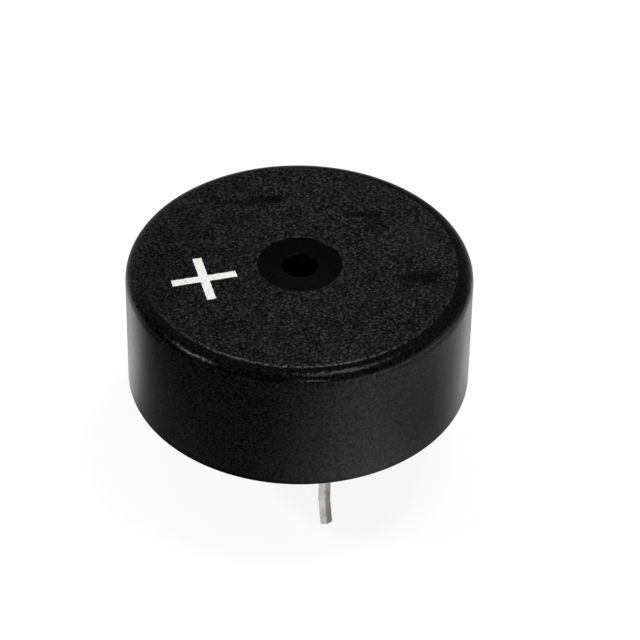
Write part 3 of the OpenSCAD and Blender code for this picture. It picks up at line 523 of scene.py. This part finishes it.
silver_paste, tree, place = material("fired_silver_paste")
mesh_marks = add(tree, "ShaderNodeTexNoise", {"Scale": 5000, "Detail": 3}, Vector=place)
colour = add(tree, "ShaderNodeMix", {"data_type": "RGBA", 6: srgb("#bdbbb4"), 7: srgb("#e2e0da")}, in_0=mesh_marks.outputs[0])
relief = add(tree, "ShaderNodeBump", {"Strength": 0.5, "Distance": 0.00001}, Height=mesh_marks.outputs[0])
skin = add(tree, "ShaderNodeBsdfPrincipled", {"Metallic": 1.0, "Roughness": 0.55},
           Base_Color=colour.outputs[2], Normal=relief.outputs[0])
add(tree, "ShaderNodeOutputMaterial", {}, Surface=skin.outputs["BSDF"])
nodes["main_electrode"].material_slots[0].material = silver_paste
nodes["feedback_electrode"].material_slots[0].material = silver_paste

silicone, tree, place = material("white_silicone")
pull = add(tree, "ShaderNodeTexNoise", {"Scale": 700, "Detail": 3}, Vector=place)
colour = add(tree, "ShaderNodeMix", {"data_type": "RGBA", 6: srgb("#d4d4cf"), 7: srgb("#ececea")}, in_0=pull.outputs[0])
relief = add(tree, "ShaderNodeBump", {"Strength": 0.5, "Distance": 0.0001}, Height=pull.outputs[0])
skin = add(tree, "ShaderNodeBsdfPrincipled", {"Roughness": 0.35, "IOR": 1.41, "Subsurface Weight": 0.2,
           "Subsurface Scale": 0.0004}, Base_Color=colour.outputs[2], Normal=relief.outputs[0])
add(tree, "ShaderNodeOutputMaterial", {}, Surface=skin.outputs["BSDF"])
nodes["adhesive_ring"].material_slots[0].material = silicone

# ---------------------------------------------------------------- leads
# Three short flexible leads from the board to the diaphragm, soldered at both ends: stranded copper in soft
# PVC insulation, red, white and black, extruded smooth.
for name, dark, light in (("lead_main", "#8e1410", "#b8241c"), ("lead_feedback", "#cfcfca", "#ebebe7"),
                          ("lead_ground", "#0c0c0d", "#1b1b1c")):
    pvc, tree, place = material("pvc_" + name)
    rub = add(tree, "ShaderNodeTexNoise", {"Scale": 2500, "Detail": 3}, Vector=place)
    colour = add(tree, "ShaderNodeMix", {"data_type": "RGBA", 6: srgb(dark), 7: srgb(light)}, in_0=rub.outputs[0])
    relief = add(tree, "ShaderNodeBump", {"Strength": 0.3, "Distance": 0.00001}, Height=rub.outputs[0])
    skin = add(tree, "ShaderNodeBsdfPrincipled", {"Roughness": 0.38, "IOR": 1.53}, Base_Color=colour.outputs[2],
               Normal=relief.outputs[0])
    add(tree, "ShaderNodeOutputMaterial", {}, Surface=skin.outputs["BSDF"])
    nodes[name].material_slots[0].material = pvc

# ---------------------------------------------------------------- table and light
# A plain white table in a dim room with a pale horizon. Soft lamps stand low on the viewer's right and
# overhead, and two small ones draw the fine bright lines on the rounded edge. A dark card round the case, densest on
# the left and seen only in reflections, paints a darker reflection into the case's gloss in place of the white table,
# as in the photograph; a pale card beside the front pin, also seen only in reflections, paints a darker reflection on
# the pin's right face.
table_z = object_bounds()[0][2]
table_mesh = bpy.data.meshes.new("table")
table_mesh.from_pydata([(-3, -3, table_z), (3, -3, table_z), (3, 3, table_z), (-3, 3, table_z)], [], [(0, 1, 2, 3)])
table = bpy.data.objects.new("table", table_mesh)
scene.collection.objects.link(table)
white_paper, tree, place = material("white_paper")
ray = add(tree, "ShaderNodeLightPath", {})
seen = add(tree, "ShaderNodeMath", {"operation": "MAXIMUM"}, in_0=ray.outputs["Is Camera Ray"], in_1=ray.outputs["Is Glossy Ray"])
seen = add(tree, "ShaderNodeMath", {"operation": "MAXIMUM"}, in_0=seen.outputs[0], in_1=ray.outputs["Is Transmission Ray"])
glow = add(tree, "ShaderNodeEmission", {"Strength": 0.88})
shade = add(tree, "ShaderNodeBsdfDiffuse", {"Color": srgb("#747474")})
white = add(tree, "ShaderNodeAddShader", {}, in_0=glow.outputs[0], in_1=shade.outputs[0])
matt = add(tree, "ShaderNodeBsdfDiffuse", {"Color": srgb("#d0d0d0")})
pick = add(tree, "ShaderNodeMixShader", {}, in_0=seen.outputs[0], in_1=matt.outputs[0], in_2=white.outputs[0])
clear = add(tree, "ShaderNodeBsdfTransparent", {})
from_below = add(tree, "ShaderNodeNewGeometry", {})
pick = add(tree, "ShaderNodeMixShader", {}, in_0=from_below.outputs["Backfacing"], in_1=pick.outputs[0],
           in_2=clear.outputs[0])
add(tree, "ShaderNodeOutputMaterial", {}, Surface=pick.outputs[0])
table_mesh.materials.append(white_paper)

# how clear the card is, by bearing in degrees; past 22 mm from the axis it grows denser still
card_clear = ((-180, 0.6), (-165, 0.28), (-150, 0.45), (-140, 0.6), (-122, 1), (-111, 0.95), (-99, 0.3), (-87, 0.14), (-74, 0.08), (-62, 0.07), (-49, 0.07), (-37, 0.06),
              (-25, 0.06), (-12, 0.16), (0, 0.42), (12, 0.64), (25, 0.9), (37, 0.95), (49, 0.72), (62, 0.49),
              (74, 0.38), (87, 0.42), (99, 0.53), (111, 0.78), (122, 1),
              (140, 0.55), (150, 0.4), (162, 0.15), (172, 0.35), (180, 0.6))
dark_card, tree, place = material("graded_dark_card")
apart = add(tree, "ShaderNodeSeparateXYZ", {}, Vector=place)
toward = add(tree, "ShaderNodeMath", {"operation": "MULTIPLY", 1: -1}, in_0=apart.outputs["Y"])
turn = add(tree, "ShaderNodeMath", {"operation": "ARCTAN2"}, in_0=apart.outputs["X"], in_1=toward.outputs[0])
share = add(tree, "ShaderNodeMapRange", {"From Min": view_bearing - math.pi, "From Max": view_bearing + math.pi},
            Value=turn.outputs[0])
grade = add(tree, "ShaderNodeValToRGB", {}, Fac=share.outputs[0])
stops = grade.color_ramp.elements
stops.remove(stops[1])
for i, (bearing, clearness) in enumerate(card_clear):
    stop = stops[0] if i == 0 else stops.new(0.5 + bearing / 360)
    stop.position = 0.5 + bearing / 360
    stop.color = (clearness, clearness, clearness, 1)
flat = add(tree, "ShaderNodeVectorMath", {"operation": "MULTIPLY", 1: (1, 1, 0)}, in_0=place)
away = add(tree, "ShaderNodeVectorMath", {"operation": "LENGTH"}, in_0=flat.outputs[0])
far_power = add(tree, "ShaderNodeMapRange", {"From Min": view_bearing + math.radians(10), "To Min": 1.45,
                                             "From Max": view_bearing + math.radians(40), "To Max": 0.65},
                Value=turn.outputs[0])
denser = add(tree, "ShaderNodeMapRange", {"From Min": 0.022, "From Max": 0.034, "To Min": 1.0},
             Value=away.outputs["Value"], To_Max=far_power.outputs[0])
off = add(tree, "ShaderNodeMath", {"operation": "SUBTRACT", 1: view_bearing + math.radians(62)}, in_0=turn.outputs[0])
off = add(tree, "ShaderNodeMath", {"operation": "ABSOLUTE"}, in_0=off.outputs[0])
near_power = add(tree, "ShaderNodeMapRange", {"From Min": math.radians(20), "To Min": 1.5,
                                              "From Max": math.radians(42), "To Max": 1.0}, Value=off.outputs[0])
near = add(tree, "ShaderNodeMapRange", {"From Min": 0.022, "From Max": 0.026, "To Max": 1.0},
           Value=away.outputs["Value"], To_Min=near_power.outputs[0])
denser = add(tree, "ShaderNodeMath", {"operation": "MULTIPLY"}, in_0=denser.outputs[0], in_1=near.outputs[0])
grade = add(tree, "ShaderNodeMath", {"operation": "POWER"}, in_0=grade.outputs["Color"], in_1=denser.outputs[0])
# the card's dark ink is a painted reflection of shade
ink = add(tree, "ShaderNodeBsdfDiffuse", {"Color": srgb("#181818")})
clear = add(tree, "ShaderNodeBsdfTransparent", {})
film = add(tree, "ShaderNodeMixShader", {}, in_0=grade.outputs[0], in_1=ink.outputs[0], in_2=clear.outputs[0])
add(tree, "ShaderNodeOutputMaterial", {}, Surface=film.outputs[0])

# seen only in reflections: a painted, darker reflection on the front pin's right face
pale_card, tree, place = material("pale_card_beside_pin")
skin = add(tree, "ShaderNodeBsdfDiffuse", {"Color": srgb("#f4f4f4")})
add(tree, "ShaderNodeOutputMaterial", {}, Surface=skin.outputs["BSDF"])

sectors = 96
ring = [(d * math.sin(k * math.tau / sectors), -d * math.cos(k * math.tau / sectors))
        for d in (13.6, 2000) for k in range(sectors)]
ring_faces = [(k, (k + 1) % sectors, sectors + (k + 1) % sectors, sectors + k) for k in range(sectors)]
fan = [(0.25 + d * math.sin(view_bearing + math.radians(a)), -7.5 - d * math.cos(view_bearing + math.radians(a)))
       for a, d in ((-10, 1.2), (50, 7.8), (110, 7.8), (170, 1.2))]
for name, points, faces, lift, paint in (("card_round_case", ring, ring_faces, 0.02, dark_card),
                                         ("card_beside_pin", fan, [range(4)], 0.03, pale_card)):
    card_mesh = bpy.data.meshes.new(name)
    card_mesh.from_pydata([(x * 0.001, y * 0.001, table_z + lift * 0.001) for x, y in points], [], faces)
    card_mesh.materials.append(paint)
    card = bpy.data.objects.new(name, card_mesh)
    scene.collection.objects.link(card)
    card.visible_camera = card.visible_shadow = card.visible_diffuse = False

room = bpy.data.worlds.new("room")
room.use_nodes = True
tree = room.node_tree
tree.nodes.clear()
place = add(tree, "ShaderNodeTexCoord", {})
apart = add(tree, "ShaderNodeSeparateXYZ", {}, Vector=place.outputs["Generated"])
level = add(tree, "ShaderNodeMapRange", {"interpolation_type": "SMOOTHSTEP", "From Min": 0.08, "From Max": 0.35,
                                         "To Min": 0.55, "To Max": 0.34}, Value=apart.outputs["Z"])
dim = (math.sin(view_bearing + math.radians(-55)), -math.cos(view_bearing + math.radians(-55)), 0)
towards = add(tree, "ShaderNodeVectorMath", {"operation": "DOT_PRODUCT", 1: dim}, in_0=place.outputs["Generated"])
side = add(tree, "ShaderNodeMapRange", {"interpolation_type": "SMOOTHSTEP", "From Min": 0.15, "From Max": 0.5,
                                        "To Min": 1.0, "To Max": 0.12}, Value=towards.outputs["Value"])
level = add(tree, "ShaderNodeMath", {"operation": "MULTIPLY"}, in_0=level.outputs[0], in_1=side.outputs[0])
sky = add(tree, "ShaderNodeBackground", {}, Strength=level.outputs[0])
add(tree, "ShaderNodeOutputWorld", {}, Surface=sky.outputs[0])
scene.world = room

for name, bearing, elevation, distance, width, height, radiance in (
        ("right", 65, 10, 0.5, 0.8, 0.2, 1.5), ("overhead", 80, 76.5, 0.5, 0.18, 0.15, 11),
        ("left", -76, 41.5, 0.5, 0.07, 0.05, 80), ("beside_camera", 10, 36, 0.4, 0.03, 0.025, 100)):
    light = bpy.data.lights.new(name, "AREA")
    light.shape = "RECTANGLE"
    light.size, light.size_y, light.energy = width, height, radiance * math.pi * width * height
    a, e = math.radians(bearing) + view_bearing, math.radians(elevation)
    spot = Vector((math.sin(a) * math.cos(e), -math.cos(a) * math.cos(e), math.sin(e)))
    lamp = bpy.data.objects.new(name, light)
    lamp.matrix_world = Matrix.Translation(spot * distance) @ spot.to_track_quat("Z", "Y").to_matrix().to_4x4()
    scene.collection.objects.link(lamp)

scene.view_settings.view_transform = "Standard"
